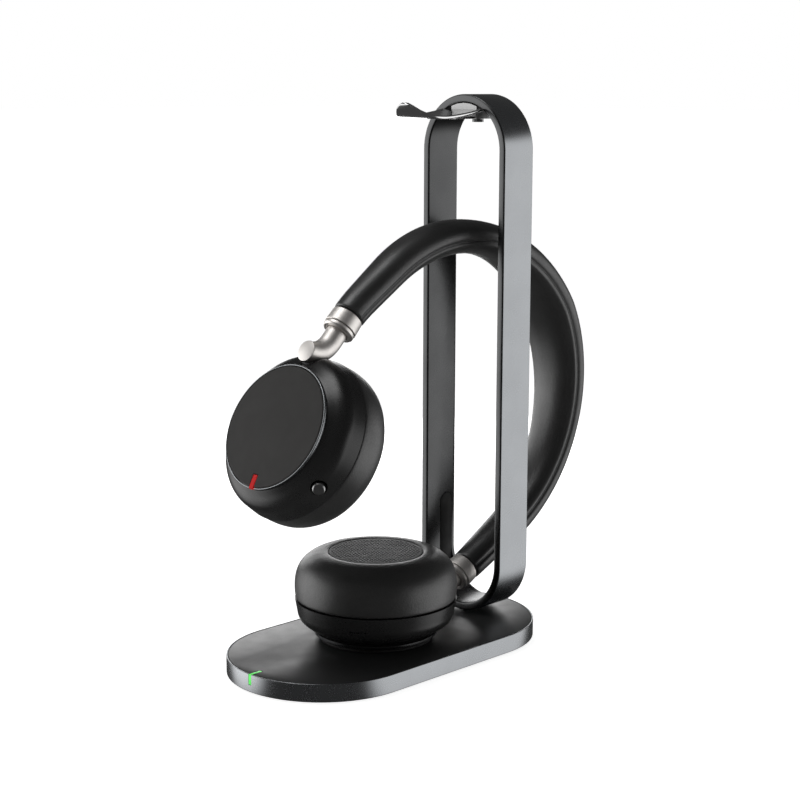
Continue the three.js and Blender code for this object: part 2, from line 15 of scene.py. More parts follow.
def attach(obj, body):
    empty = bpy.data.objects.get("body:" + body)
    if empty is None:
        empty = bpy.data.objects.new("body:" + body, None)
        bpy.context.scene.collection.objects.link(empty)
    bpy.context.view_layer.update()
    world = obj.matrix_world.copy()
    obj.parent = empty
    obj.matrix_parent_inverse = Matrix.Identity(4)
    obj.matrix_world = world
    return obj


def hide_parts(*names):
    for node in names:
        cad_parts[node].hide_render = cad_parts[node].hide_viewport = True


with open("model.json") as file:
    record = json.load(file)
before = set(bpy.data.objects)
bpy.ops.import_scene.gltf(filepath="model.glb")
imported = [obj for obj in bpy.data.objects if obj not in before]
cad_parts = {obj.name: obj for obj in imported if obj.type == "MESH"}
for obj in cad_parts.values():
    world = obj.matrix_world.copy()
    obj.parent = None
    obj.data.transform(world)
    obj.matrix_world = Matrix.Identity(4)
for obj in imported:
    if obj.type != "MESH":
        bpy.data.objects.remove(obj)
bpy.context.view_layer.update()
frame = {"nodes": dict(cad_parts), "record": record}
scene = bpy.context.scene
MM = 0.001

# Dimensions shared with the CAD source -----------------------------------------------------------
BASE_WIDTH, BASE_LENGTH, BASE_TOP = 90, 168, 9.3
LOOP_Y, LOOP_STRAP, LOOP_THICK, LOOP_HALF, LOOP_TOP, LOOP_FOOT = 62, 20.3, 3.75, 26.2, 261.4, 9.6
DOCK_Y = -6
LIGHT_HALF = 0.75
AXIS = math.radians(31)
BAND_R, BAND_LEAN, BAND_STRAIGHT = 79.45, math.radians(3), 20.5
BAND_TIP, BAND_WIDE, BAND_THICK, SEAM_SHARE = 7.5, 16.2, 8.6, -0.2
HOOK, HOOK_LENGTH = {"upper": math.radians(11), "lower": math.radians(4)}, 15
LEATHER_START = 4.4
ROD_R, CAP_T, CAP_H, ROD_INSIDE = 5, 36.6, 2.2, 13.5
ARM_BEND, ARM_NECK = {"upper": 12.9, "lower": 8.4}, {"upper": 10.8, "lower": 18.2}
PIN_T, PIN_H = 26.5, 9
KEY_ANGLE, KEY_R, KEY_H, KEY_TILT = math.radians(-34), 36.9, 9.3, math.radians(55)
MIC_X, MIC_Y, MIC_H = -20, -30.6, 10.4
X_AXIS, Z_AXIS = Vector((1, 0, 0)), Vector((0, 0, 1))
SIDEWAYS = Matrix(((0, 0, 1, 0), (1, 0, 0, 0), (0, 1, 0, 0), (0, 0, 0, 1)))  # drawn in XY, standing in YZ


# Shapes ------------------------------------------------------------------------------------------
def fillet(points, radius, closed=True, steps=4):
    """Rounds the corners of a 2D outline."""
    pts = [Vector(p) for p in points]
    out = []
    for i, p in enumerate(pts):
        if not closed and i in (0, len(pts) - 1):
            out.append(p)
            continue
        u, v = pts[i - 1] - p, pts[(i + 1) % len(pts)] - p
        angle = u.angle(v)
        if angle > math.radians(177):
            out.append(p)
            continue
        back = min(radius / math.tan(angle / 2), 0.45 * u.length, 0.45 * v.length)
        a, b = p + u.normalized() * back, p + v.normalized() * back
        for k in range(steps + 1):
            t = k / steps
            out.append(a * (1 - t) ** 2 + p * 2 * t * (1 - t) + b * t**2)
    return out


def through(points, steps=6):
    """A smooth curve through 2D points."""
    pts = [Vector(p) for p in points]
    pts = [2 * pts[0] - pts[1], *pts, 2 * pts[-1] - pts[-2]]
    out = []
    for i in range(1, len(pts) - 2):
        a, b, c, d = pts[i - 1 : i + 3]
        square, cube = 2 * a - 5 * b + 4 * c - d, 3 * b - a - 3 * c + d
        for k in range(steps):
            t = k / steps
            out.append(0.5 * (2 * b + (c - a) * t + square * t**2 + cube * t**3))
    return [*out, pts[-2]]


def lathe(profile, sides=144, ripple=None):
    """Vertices and faces turned about Z. ripple(angle, radius, z) changes the radius."""
    on_axis = abs(profile[0][0]) < 1e-9 and abs(profile[-1][0]) < 1e-9
    verts, rings = [], []
    for r, z in profile:
        if abs(r) < 1e-9:
            rings.append([len(verts)] * sides)
            verts.append((0, 0, z))
            continue
        rings.append([len(verts) + k for k in range(sides)])
        for k in range(sides):
            a = 2 * math.pi * k / sides
            q = ripple(a, r, z) if ripple else r
            verts.append((q * math.cos(a), q * math.sin(a), z))
    faces = []
    for i in range(len(rings) - (1 if on_axis else 0)):
        low, high = rings[i], rings[(i + 1) % len(rings)]
        for k in range(sides):
            n = (k + 1) % sides
            face = list(dict.fromkeys((low[k], low[n], high[n], high[k])))
            if len(face) > 2:
                faces.append(face)
    return verts, faces


def skin(rings, closed=False):
    """Faces through rings of 3D points: a closed run, or one with flat ends."""
    n = len(rings[0])
    verts = [tuple(p) for ring in rings for p in ring]
    faces = []
    for i in range(len(rings) - (0 if closed else 1)):
        a, b = i * n, (i + 1) % len(rings) * n
        faces += [(a + k, a + (k + 1) % n, b + (k + 1) % n, b + k) for k in range(n)]
    if not closed:
        faces.append(tuple(range(n))[::-1])
        faces.append(tuple(range(len(verts) - n, len(verts))))
    return verts, faces


def racetrack(half_width, half_length, arc=40):
    """Points and outward normals of an outline with half-round ends, long side along its second axis."""
    straight = half_length - half_width
    out = []
    for start, centre in ((0, straight), (math.pi, -straight)):
        for k in range(arc + 1):
            a = start + math.pi * k / arc
            nx, ny = math.cos(a), math.sin(a)
            out.append((half_width * nx, centre + half_width * ny, nx, ny))
    return out


def join(*shapes):
    verts, faces = [], []
    for v, f in shapes:
        faces += [tuple(i + len(verts) for i in face) for face in f]
        verts += [tuple(p) for p in v]
    return verts, faces


def prism(outline, low, high):
    """An extruded 2D outline, as rings at two heights."""
    return skin([[(x, y, z) for x, y in outline] for z in (low, high)])


def soft_prism(outline, low, high, edge=0.3):
    """An extruded outline whose rims are rounded a little; the outline is given as points and normals."""
    rings = []
    for inset, z in ((edge, low), (0.3 * edge, low + 0.3 * edge), (0, low + edge), (0, high - edge),
                     (0.3 * edge, high - 0.3 * edge), (edge, high)):
        rings.append([(x - nx * inset, y - ny * inset, z) for x, y, nx, ny in outline])
    return skin(rings)


def box(x0, x1, y0, y1, z0, z1):
    return prism([(x0, y0), (x1, y0), (x1, y1), (x0, y1)], z0, z1)


def turned_to(matrix, shape):
    verts, faces = shape
    return [tuple(matrix @ Vector(v)) for v in verts], faces


def aimed(direction):
    """A turn that takes +Z to a direction."""
    return Z_AXIS.rotation_difference(direction).to_matrix().to_4x4()


def mesh_object(name, shape, place, sharp=35):
    """A mesh from millimetres; the object's place is the frame it was drawn in."""
    mesh = bpy.data.meshes.new(name)
    verts, faces = shape
    mesh.from_pydata([[c * MM for c in v] for v in verts], [], faces)
    bm = bmesh.new()
    bm.from_mesh(mesh)
    bmesh.ops.remove_doubles(bm, verts=bm.verts, dist=1e-7)
    bmesh.ops.recalc_face_normals(bm, faces=bm.faces)
    bm.to_mesh(mesh)
    bm.free()
    mesh.shade_smooth()
    mesh.set_sharp_from_angle(angle=math.radians(sharp))
    obj = bpy.data.objects.new(name, mesh)
    scene.collection.objects.link(obj)
    obj.matrix_world = place
    return obj


def bake(obj, sharp=35):
    """Applies the object's modifiers to its mesh."""
    evaluated = obj.evaluated_get(bpy.context.evaluated_depsgraph_get())
    mesh = bpy.data.meshes.new_from_object(evaluated)
    obj.modifiers.clear()
    obj.data = mesh
    mesh.shade_smooth()
    mesh.set_sharp_from_angle(angle=math.radians(sharp))


def piece(name, shape, body, paint, nodes=(), place=Matrix(), cutters=(), sharp=35):
    """A finished piece: cut, painted, riding on its body and standing for its CAD nodes."""
    obj = mesh_object(name, shape, scaled(place), sharp)
    for i, cutter in enumerate(cutters):
        tool = mesh_object(f"{name}_tool{i}", cutter, scaled(place))
        bpy.context.view_layer.update()
        modifier = obj.modifiers.new("cut", "BOOLEAN")
        modifier.object = tool
        modifier.solver = "EXACT"
        bake(obj, sharp)
        bpy.data.objects.remove(tool)
    obj.data.materials.clear()
    obj.data.materials.append(paint)
    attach(obj, body)
    if nodes:
        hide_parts(*nodes)
    return obj


def scaled(place):
    """A placing matrix with its shift in metres."""
    out = place.copy()
    out.translation = out.translation * MM
    return out


# Materials ---------------------------------------------------------------------------------------
class Paint:
    """A Principled material whose inputs are driven by small procedural patterns."""

    def __init__(self, name, **fixed):
        self.material = bpy.data.materials.new(name)
        self.material.use_nodes = True
        self.tree = self.material.node_tree
        self.bsdf = self.tree.nodes["Principled BSDF"]
        for socket, value in fixed.items():
            self.bsdf.inputs[socket.replace("_", " ")].default_value = value
        self.where = self.add("ShaderNodeTexCoord").outputs["Object"]

    def add(self, kind, **props):
        node = self.tree.nodes.new(kind)
        for key, value in props.items():
            setattr(node, key, value)
        return node

    def put(self, socket, value):
        if isinstance(value, bpy.types.NodeSocket):
            self.tree.links.new(value, socket)
        else:
            socket.default_value = value

    def math(self, operation, *values, clamp=False):
        node = self.add("ShaderNodeMath", operation=operation, use_clamp=clamp)
        for socket, value in zip(node.inputs, values):
            self.put(socket, value)
        return node.outputs[0]

    def length(self, x, y):
        return self.math("SQRT", self.math("ADD", self.math("MULTIPLY", x, x), self.math("MULTIPLY", y, y)))

    def noise(self, scale, detail=2.0, roughness=0.5, distortion=0.0, stretch=None):
        node = self.add("ShaderNodeTexNoise")
        where = self.where
        if stretch:
            mapping = self.add("ShaderNodeMapping")
            mapping.inputs["Scale"].default_value = stretch
            self.put(mapping.inputs["Vector"], where)
            where = mapping.outputs[0]
        self.put(node.inputs["Vector"], where)
        values = {"Scale": scale, "Detail": detail, "Roughness": roughness, "Distortion": distortion}
        for key, value in values.items():
            node.inputs[key].default_value = value
        return node.outputs["Fac"]

    def cells(self, scale, feature="F1", smooth=0.0):
        node = self.add("ShaderNodeTexVoronoi", feature=feature)
        self.put(node.inputs["Vector"], self.where)
        node.inputs["Scale"].default_value = scale
        if feature == "SMOOTH_F1":
            node.inputs["Smoothness"].default_value = smooth
        return node.outputs["Distance"]

    def span(self, value, low, high, from_low=0.3, from_high=0.7):
        node = self.add("ShaderNodeMapRange")
        self.put(node.inputs["Value"], value)
        limits = {"From Min": from_low, "From Max": from_high, "To Min": low, "To Max": high}
        for key, limit in limits.items():
            self.put(node.inputs[key], limit)
        return node.outputs["Result"]

    def mix(self, factor, a, b):
        node = self.add("ShaderNodeMix", data_type="RGBA")
        self.put(node.inputs["Factor"], factor)
        colours = [s for s in node.inputs if s.type == "RGBA"]
        for socket, value in zip(colours, (a, b)):
            self.put(socket, value)
        return next(s for s in node.outputs if s.type == "RGBA")

    def colour(self, value):
        self.put(self.bsdf.inputs["Base Color"], value)

    def rough(self, value):
        self.put(self.bsdf.inputs["Roughness"], value)

    def bump(self, height, strength, distance, below=None):
        node = self.add("ShaderNodeBump")
        node.inputs["Strength"].default_value = strength
        node.inputs["Distance"].default_value = distance
        self.put(node.inputs["Height"], height)
        if below is not None:
            self.put(node.inputs["Normal"], below)
        self.put(self.bsdf.inputs["Normal"], node.outputs[0])
        return node.outputs[0]


def shade(grey, warm=0.0):
    """A linear colour from a display grey, 0 to 255, made warmer or cooler."""
    def linear(c):
        c = max(0.0, min(1.0, c / 255))
        return c / 12.92 if c <= 0.04045 else ((c + 0.055) / 1.055) ** 2.4

    return (linear(grey + warm), linear(grey), linear(grey - warm), 1)


def moulded(name, low, high, rough, grain, depth, warm=0.0, metallic=0.0, **fixed):
    """Moulded plastic or blasted metal: fine grain, cloudy colour and a roughness that wanders a little."""
    p = Paint(name, Metallic=metallic, **fixed)
    p.colour(p.mix(p.span(p.noise(55, 3), 0, 1), shade(low, warm), shade(high, warm)))
    fine = p.noise(grain, 3, 0.6)
    p.rough(p.math("ADD", p.span(p.noise(140, 3), *rough), p.span(fine, -0.03, 0.03)))
    p.bump(fine, 0.35, depth)
    return p.material


def brushed(name, low, high, rough, stretch, warm=0.0, **fixed):
    """Turned or drawn metal with faint long scratches."""
    p = Paint(name, Metallic=1.0, **fixed)
    lines = p.noise(90, 3, 0.55, stretch=stretch)
    p.colour(p.mix(p.span(lines, 0, 1), shade(low, warm), shade(high, warm)))
    p.rough(p.span(lines, *rough))
    p.bump(p.math("ADD", lines, p.noise(2200, 2)), 0.08, 0.00006)
    return p.material


def leather(name, low, high, rough=(0.3, 0.4), size=1150, depth=0.00007):
    """Fine pebbled leather: rounded grains between thin creases."""
    p = Paint(name)
    p.bsdf.inputs["Specular IOR Level"].default_value = 1.0
    p.bsdf.inputs["Sheen Weight"].default_value = 0.06
    p.bsdf.inputs["Sheen Roughness"].default_value = 0.45
    grains = p.cells(size, "SMOOTH_F1", 0.35)
    creases = p.cells(size, "DISTANCE_TO_EDGE")
    cloud = p.noise(60, 4, 0.6)
    open_grain = p.span(creases, 0, 1, 0.0, 0.22)
    p.colour(p.mix(open_grain, shade(max(low - 8, 4)), p.mix(p.span(cloud, 0, 1), shade(low), shade(high))))
    p.rough(p.math("ADD", p.span(cloud, *rough), p.span(open_grain, 0.1, 0.0, 0, 1)))
    soft = p.bump(p.noise(110, 2, 0.5), 0.12, 0.0005)
    p.bump(p.math("SUBTRACT", p.noise(2600, 2), p.math("MULTIPLY", grains, 1.6)), 0.4, depth, soft)
    return p.material


def perforated(name, low, high, pitch=1.7, spread=1.3, hole=0.6, field=20.9):
    """Leather-look cover with staggered rows of small holes inside a plain border; the holes are painted near
    black as painted shade.
    """
    p = Paint(name)
    p.bsdf.inputs["Specular IOR Level"].default_value = 0.45
    axes = p.add("ShaderNodeSeparateXYZ")
    p.put(axes.inputs[0], p.where)
    x, y = axes.outputs[0], axes.outputs[1]
    across = p.math("MULTIPLY", p.math("SUBTRACT", y, x), math.sqrt(0.5))
    along = p.math("MULTIPLY", p.math("ADD", y, x), math.sqrt(0.5))
    row = p.math("DIVIDE", along, spread * pitch * MM)
    odd = p.math("MODULO", p.math("FLOOR", p.math("ADD", row, 400)), 2)
    column = p.math("ADD", p.math("DIVIDE", across, pitch * MM), p.math("MULTIPLY", odd, 0.5))
    du = p.math("SUBTRACT", p.math("FRACT", p.math("ADD", column, 400)), 0.5)
    dv = p.math("MULTIPLY", p.math("SUBTRACT", p.math("FRACT", p.math("ADD", row, 400)), 0.5), spread)
    off = p.math("MULTIPLY", p.length(du, dv), pitch)
    reach = p.length(x, y)
    inside = p.span(reach, 1, 0, (field - 0.2) * MM, field * MM)
    opened = p.math("MULTIPLY", p.span(off, 1, 0, hole - 0.08, hole + 0.06), inside)
    cloud = p.span(p.noise(80, 4), 0, 1)
    # Painted shade: the holes are coloured near black instead of being cut.
    p.colour(p.mix(opened, p.mix(cloud, shade(low), shade(high)), shade(3)))
    p.rough(p.math("ADD", p.span(cloud, 0.5, 0.62, 0, 1), p.math("MULTIPLY", opened, 0.3), clamp=True))
    fine = p.bump(p.noise(2400, 2), 0.3, 0.00008)
    p.bump(p.math("SUBTRACT", 1, opened), 0.9, 0.0005, fine)
    return p.material


def lens(name, rgb, strength):
    """A lit light guide whose brightness wanders a little."""
    p = Paint(name, Roughness=0.3, Specular_IOR_Level=0.15)
    p.bsdf.inputs["Emission Strength"].default_value = strength
    cloud = p.span(p.noise(420, 2), 0, 1)
    dim = tuple(c * 0.72 for c in rgb)
    colour = p.mix(cloud, (*dim, 1), (*rgb, 1))
    p.colour(colour)
    p.put(p.bsdf.inputs["Emission Color"], colour)
    p.rough(p.span(cloud, 0.24, 0.36, 0, 1))
    p.bump(p.noise(1800, 2), 0.2, 0.00005)
    return p.material


PAINT = {
    "satin_gunmetal": moulded("satin_gunmetal", 154, 159, (0.24, 0.27), 3200, 0.000003, -2.5, 1.0),
    # A darker copy of satin_gunmetal: painted shade for the loop's inside faces and edges and for the lower
    # cup's trim.
    "painted_shade_gunmetal": moulded("painted_shade_gunmetal", 80, 85, (0.26, 0.3), 3200, 0.000003, -0.5, 1.0),
    "satin_nickel": brushed("satin_nickel", 240, 246, (0.46, 0.54), (1, 1, 9), 4),
    "polished_metal": brushed("polished_metal", 214, 224, (0.12, 0.17), (7, 1, 1)),
    "matte_charcoal": moulded("matte_charcoal", 55, 59, (0.55, 0.62), 2600, 0.00001, 0.8,
                              Specular_IOR_Level=0.2),
    "panel_charcoal": moulded("panel_charcoal", 50, 54, (0.34, 0.4), 2600, 0.00001, -0.5),
    "gloss_black": moulded("gloss_black", 24, 28, (0.27, 0.31), 1900, 0.000002),
    "knob_metal": moulded("knob_metal", 158, 170, (0.3, 0.36), 1900, 0.000008, 0.0, 1.0),
    "inner_black": moulded("inner_black", 18, 23, (0.5, 0.6), 1600, 0.00005),
    "black_leather": leather("black_leather", 30, 35),
    "speaker_cloth": perforated("speaker_cloth", 100, 108),
    "soft_rubber": moulded("soft_rubber", 22, 27, (0.65, 0.78), 1500, 0.00006),
    "plain_steel": brushed("plain_steel", 150, 164, (0.3, 0.4), (1, 6, 1)),
    "board_green": moulded("board_green", 60, 70, (0.4, 0.5), 900, 0.00005),
    "coil_copper": brushed("coil_copper", 168, 182, (0.3, 0.4), (1, 1, 12), 40),
    "cell_grey": moulded("cell_grey", 140, 150, (0.4, 0.5), 1200, 0.00003),
    "green_lens": lens("green_lens", (0.12, 0.8, 0.13), 0.6),
    "red_lens": lens("red_lens", (0.42, 0.004, 0.004), 0.5),
}
for part in frame["record"]["subparts"]:
    node = frame["nodes"][part["node"]]
    node.data.materials.clear()
    node.data.materials.append(PAINT[part["material_slot"]])

# Stand -------------------------------------------------------------------------------------------
notch = box(-LIGHT_HALF - 0.2, LIGHT_HALF + 0.2, -85, -76.9, 4.3, 12)
usb_mouth = soft_prism([(x, y, nx, ny) for y, x, ny, nx in racetrack(1.9, 4.9, 12)], -6, 6, 0.2)
usb_mouth = turned_to(Matrix.Translation((0, 84, 5.3)) @ Matrix.Rotation(math.radians(90), 4, "X"), usb_mouth)
rim_section = fillet([(0, 1), (0, BASE_TOP), (-0.6, BASE_TOP), (-0.6, 7.4), (-3, 7.4), (-3, 1)], 0.4)
outline = racetrack(BASE_WIDTH / 2, BASE_LENGTH / 2, 72)
rim = skin([[(x + nx * o, y + ny * o, z) for o, z in rim_section] for x, y, nx, ny in outline], closed=True)
piece("stand_base_rim", rim, "stand", PAINT["satin_gunmetal"], ["base_rim"],
      cutters=[notch, usb_mouth])

inner = racetrack(BASE_WIDTH / 2 - 0.9, BASE_LENGTH / 2 - 0.9, 72)
dock_hole = turned_to(Matrix.Translation((0, DOCK_Y, 0)), lathe([(0, 0), (24.3, 0), (24.3, 20), (0, 20)], 96))
panel = soft_prism(inner, 7.7, BASE_TOP, 0.25)
piece("stand_top_panel", panel, "stand", PAINT["panel_charcoal"], ["base_top_panel"],
      cutters=[dock_hole, notch])

light_outline = [(x, y - 80.55, nx, ny) for x, y, nx, ny in racetrack(LIGHT_HALF, 3.35, 10)]
light_foot = box(-LIGHT_HALF, LIGHT_HALF, -83.92, -82.4, 4.6, 9.2)
light = join(soft_prism(light_outline, 7.7, 9.28, 0.15), light_foot)
piece("stand_status_light", light, "stand", PAINT["green_lens"], ["status_light"])

puck = [(0, 11.4), (26, 11.4), (27, 10.6), (27, 9.6), (24, 9.6), (24, 7.1), (21.6, 7.1), (21.6, 10.1),
        (0, 10.1)]
puck = lathe(fillet(puck, 0.3, closed=False))
piece("stand_charging_puck", puck, "stand", PAINT["soft_rubber"], ["charging_puck"],
      Matrix.Translation((0, DOCK_Y, 0)))

half_height = (LOOP_TOP - LOOP_FOOT) / 2
t, w = LOOP_THICK / 2, LOOP_STRAP / 2
section = fillet([(t, -w), (t, w), (-t, w), (-t, -w)], 0.75, steps=3)
path = racetrack(LOOP_HALF - t, half_height - t, 64)
mid = LOOP_FOOT + half_height
rings = [[(x + nx * o, LOOP_Y + y, mid + z + nz * o) for o, y in section] for x, z, nx, nz in path]
loop = skin(rings, closed=True)
slot_frame = Matrix.Translation((0, LOOP_Y + 3.8, 42.5)) @ SIDEWAYS
pockets = [turned_to(slot_frame, prism([(x, y) for x, y, _, _ in racetrack(4.4, 20.8, 24)], *span))
           for span in ((-23.45, -20), (20, 23.45))]
strap = piece("stand_loop", loop, "stand", PAINT["satin_gunmetal"], ["loop_frame"],
              cutters=pockets)
# Painted shade: the loop's inside faces and its front and back edges take the darker gunmetal copy.
strap.data.materials.append(PAINT["painted_shade_gunmetal"])
for face in strap.data.polygons:
    x, z = face.center.x / MM, face.center.z / MM
    core = Vector((0, min(max(z, LOOP_FOOT + LOOP_HALF), LOOP_TOP - LOOP_HALF)))
    inside = (Vector((x, z)) - core).length < LOOP_HALF - LOOP_THICK + 0.35
    face.material_index = 1 if inside or abs(face.normal.y) > 0.6 else 0
for side, low in (("left", -23.15), ("right", 22.3)):
    insert = turned_to(slot_frame, soft_prism(racetrack(4.1, 20.5, 24), low, low + 0.85, 0.2))
    piece(f"stand_insert_{side}", insert, "stand", PAINT["soft_rubber"],
          [f"leg_insert_{side}"])

TRAY = [(51.2, 254.9), (45, 253.7), (38, 252.7), (31, 252), (25, 251.8), (19.5, 252.4), (15.6, 254.2),
        (13.4, 256.6), (12.6, 257.9)]
tray_line = through(TRAY, 9)
tray = []
for i, p in enumerate(tray_line):
    tangent = (tray_line[min(i + 1, len(tray_line) - 1)] - tray_line[max(i - 1, 0)]).normalized()
    down = Vector((tangent.y, -tangent.x))
    if down.y > 0:
        down = -down
    share = min(1.0, max(0.0, (25 - p.x) / 12.4))
    half = max(12.7 * math.sqrt(1 - share**2), 1.2)
    thick = 1.6 if 1 < i < len(tray_line) - 2 else 1.0
    skip = (1.6 - thick) / 2
    lip = 2.4 * min(1, half / 5)
    dished = [(-half, skip), (-half + 0.6 * lip, skip), (-half + lip, skip + 0.45)]
    flat_side = [(half, skip + thick), (-half, skip + thick)]
    rim_line = fillet([*dished, *[(-x, d) for x, d in reversed(dished)], *flat_side], 0.8, steps=4)
    tray.append([(x, p.x + down.x * d, p.y + down.y * d) for x, d in rim_line])
piece("stand_perch_tray", skin(tray), "stand", PAINT["polished_metal"], ["perch_tray"],
      sharp=50)

# Ear cups ----------------------------------------------------------------------------------------
PLACE = {
    "lower": Matrix.Translation((0, DOCK_Y, 11.7)) @ Matrix.Rotation(math.pi, 4, "Y"),
    "upper": Matrix.Translation((0, -68.429, 119.014)) @ Matrix.Rotation(2 * AXIS, 4, "X"),
}
ARM_ANGLE = {side: math.pi / 2 - (AXIS - BAND_LEAN - HOOK[side]) for side in HOOK}


def arm_step(side):
    return Vector((0, math.sin(ARM_ANGLE[side]), -math.cos(ARM_ANGLE[side])))


def arm_point(side, angle, straight=0.0):
    bend = ARM_BEND[side]
    p = Vector((0, CAP_T + bend * (1 - math.cos(angle)), -CAP_H - bend * math.sin(angle)))
    return p + arm_step(side) * straight


def rod(side, radius, straight, sides=56, chamfer=0.0):
    """The arm's round bar: out of the disc, round its elbow and straight on."""
    stops = [(0, 1), (0.3, 0.3), (1, 0)] if chamfer else [(0, 0)]
    top = arm_point(side, 0)
    rings = [(top - Z_AXIS * chamfer * down, 0, radius - chamfer * inset) for down, inset in stops]
    turns = [ARM_ANGLE[side] * k / 24 for k in range(2, 25)]
    rings += [(arm_point(side, angle), angle, radius) for angle in turns]
    rings.append((arm_point(side, ARM_ANGLE[side], straight), ARM_ANGLE[side], radius))
    out = []
    for centre, angle, r in rings:
        up = Vector((0, math.cos(angle), math.sin(angle)))
        turn = [2 * math.pi * k / sides for k in range(sides)]
        out.append([centre + X_AXIS * r * math.cos(a) + up * r * math.sin(a) for a in turn])
    return skin(out)


def tongue(half_x, grow, edge=0.0):
    """The flat link from the hinge pin up into the elbow."""
    start, end = Vector((PIN_T, -PIN_H)), Vector((CAP_T + 1.2, -6.4))
    a = math.atan2(end.y - start.y, end.x - start.x)
    outline = []
    for centre, r, first in ((start, 3.2 + grow, a + math.pi / 2), (end, 2.4 + grow, a - math.pi / 2)):
        for k in range(17):
            t = first + math.pi * k / 16
            outline.append((centre.x + r * math.cos(t), centre.y + r * math.sin(t), math.cos(t), math.sin(t)))
    flat = [p[:2] for p in outline]
    shape = soft_prism(outline, -half_x, half_x, edge) if edge else prism(flat, -half_x, half_x)
    return turned_to(SIDEWAYS, shape)


key_radial = Vector((math.cos(KEY_ANGLE), math.sin(KEY_ANGLE), 0))
key_axis = (key_radial * math.sin(KEY_TILT)) + Z_AXIS * math.cos(KEY_TILT)
KEY_FRAME = Matrix.Translation(key_radial * KEY_R - Z_AXIS * KEY_H) @ aimed(key_axis)
SHELL_OUT = [(28, -1.9), (29, -2.5), (31, -3.8), (33.6, -5.4), (35.6, -7.2), (36.7, -9.4), (37.2, -12),
             (38.1, -17)]
SHELL_IN = [(36, -17), (34.4, -11.8), (33.5, -10.4), (30.6, -7.5), (27.6, -4.8), (26.6, -3.9), (0, -3.9)]
lens_slot = box(-1.6, 1.6, -40, -22.4, -1.9, 1)


def cup_shell(side):
    curve = through(SHELL_OUT, 5)
    profile = [Vector((0, -1.9)), *curve, *map(Vector, SHELL_IN[:2])]
    profile += [Vector(p) for p in SHELL_IN[2:]]
    cutters = [rod(side, ROD_R + 1.5, 12, 40), tongue(3.1, 1.3)]
    if side == "upper":
        cutters.append(turned_to(KEY_FRAME, lathe([(0, -8), (3.7, -8), (3.7, 6), (0, 6)], 48)))
    else:
        middle, step = math.atan2(MIC_Y, MIC_X), 1.7 / math.hypot(MIC_X, MIC_Y)
        level = Matrix.Translation((0, 0, -MIC_H)) @ Matrix.Rotation(math.pi / 2, 4, "Y")
        for k in range(-2, 3):
            hole = Matrix.Rotation(middle + k * step, 4, "Z") @ level
            cutters.append(turned_to(hole, lathe([(0, 30), (0.45, 30), (0.45, 40), (0, 40)], 16)))
    piece(f"{side}_shell", lathe(profile, 160), f"{side}_cup", PAINT["gloss_black"],
          [f"{side}_cup_shell"], PLACE[side], cutters)


for side in ("lower", "upper"):
    body, place = f"{side}_cup", PLACE[side]
    cuts = [lens_slot] if side == "upper" else []
    disc = fillet([(0, 0), (27.9, 0), (28.3, -0.4), (28.3, -1.4), (0, -1.4)], 0.25, closed=False)
    piece(f"{side}_disc", lathe(disc, 160), body, PAINT["matte_charcoal"],
          [f"{side}_disc_plate"], place, cuts)
    trim = fillet([(28.6, -0.3), (29, -0.3), (29.2, -0.6), (29.2, -1.6), (28.6, -1.6)], 0.12)
    # Painted shade: the lower trim takes the darker gunmetal copy, the upper trim plain satin gunmetal.
    finish = PAINT["satin_gunmetal" if side == "upper" else "painted_shade_gunmetal"]
    piece(f"{side}_trim", lathe(trim, 160), body, finish,
          [f"{side}_disc_trim"], place, cuts)
    cup_shell(side)
    cover = fillet([(0, -37.1), (22.1, -37.8), (22.1, -39), (19.5, -38.9), (0, -38.4)], 0.3, closed=False)
    piece(f"{side}_speaker_grille", lathe(cover, 128), body, PAINT["speaker_cloth"],
          [f"{side}_speaker_cover"], place)

bar_outline = [(-1.2, -28.9, 0, 0), (1.2, -28.9, 0, 0), (1.2, -22.8, 0, 0), (-1.2, -22.8, 0, 0)]
lens_bar = join(soft_prism(bar_outline, -1.5, 0, 0.2), box(-1.2, 1.2, -29.2, -28.2, -1.5, -0.3))
piece("upper_busy_lens", lens_bar, "upper_cup", PAINT["red_lens"], ["busy_light"], PLACE["upper"])


# Ear cushions: a leather ring, inflated as cloth and held where it is glued down -------------------
CUSHION = [(37.2, -17.5), (37.8, -18.2), (38.1, -21), (38.1, -25), (37.5, -29), (35.9, -32.8), (33, -36),
           (29.2, -38.3), (26, -39.1), (23.8, -39.2), (22.6, -38.9), (22.3, -38.2), (22.3, -36.4)]
CUSHION_BACK = [(22.3, -36.4), (22.3, -17.5), (37.2, -17.5)]


def inflate(obj, pinned, cap):
    """Swells a mesh with cloth pressure; pinned vertices stay, and no point moves further than cap (mm)."""
    group = obj.vertex_groups.new(name="pin")
    group.add(pinned, 1.0, "REPLACE")
    before = np.array([v.co for v in obj.data.vertices])
    cloth = obj.modifiers.new("cloth", "CLOTH")
    cloth.settings.vertex_group_mass = "pin"
    cloth.settings.use_pressure = True
    cloth.settings.uniform_pressure_force = 4
    cloth.settings.effector_weights.gravity = 0
    cloth.settings.quality = 6
    cloth.settings.tension_stiffness = 40
    cloth.settings.bending_stiffness = 2
    cloth.point_cache.frame_start = 1
    cloth.point_cache.frame_end = 20
    for step in range(1, 21):
        scene.frame_set(step)
    evaluated = obj.evaluated_get(bpy.context.evaluated_depsgraph_get())
    after = np.array([v.co for v in evaluated.data.vertices])
    obj.modifiers.clear()
    scene.frame_set(1)
    if len(after) != len(before) or not np.isfinite(after).all():
        return
    move = after - before
    size = np.linalg.norm(move, axis=1, keepdims=True)
    held = before + move * np.minimum(1, cap * MM / np.maximum(size, 1e-12))
    obj.data.vertices.foreach_set("co", held.astype(np.float32).ravel())
    obj.data.update()


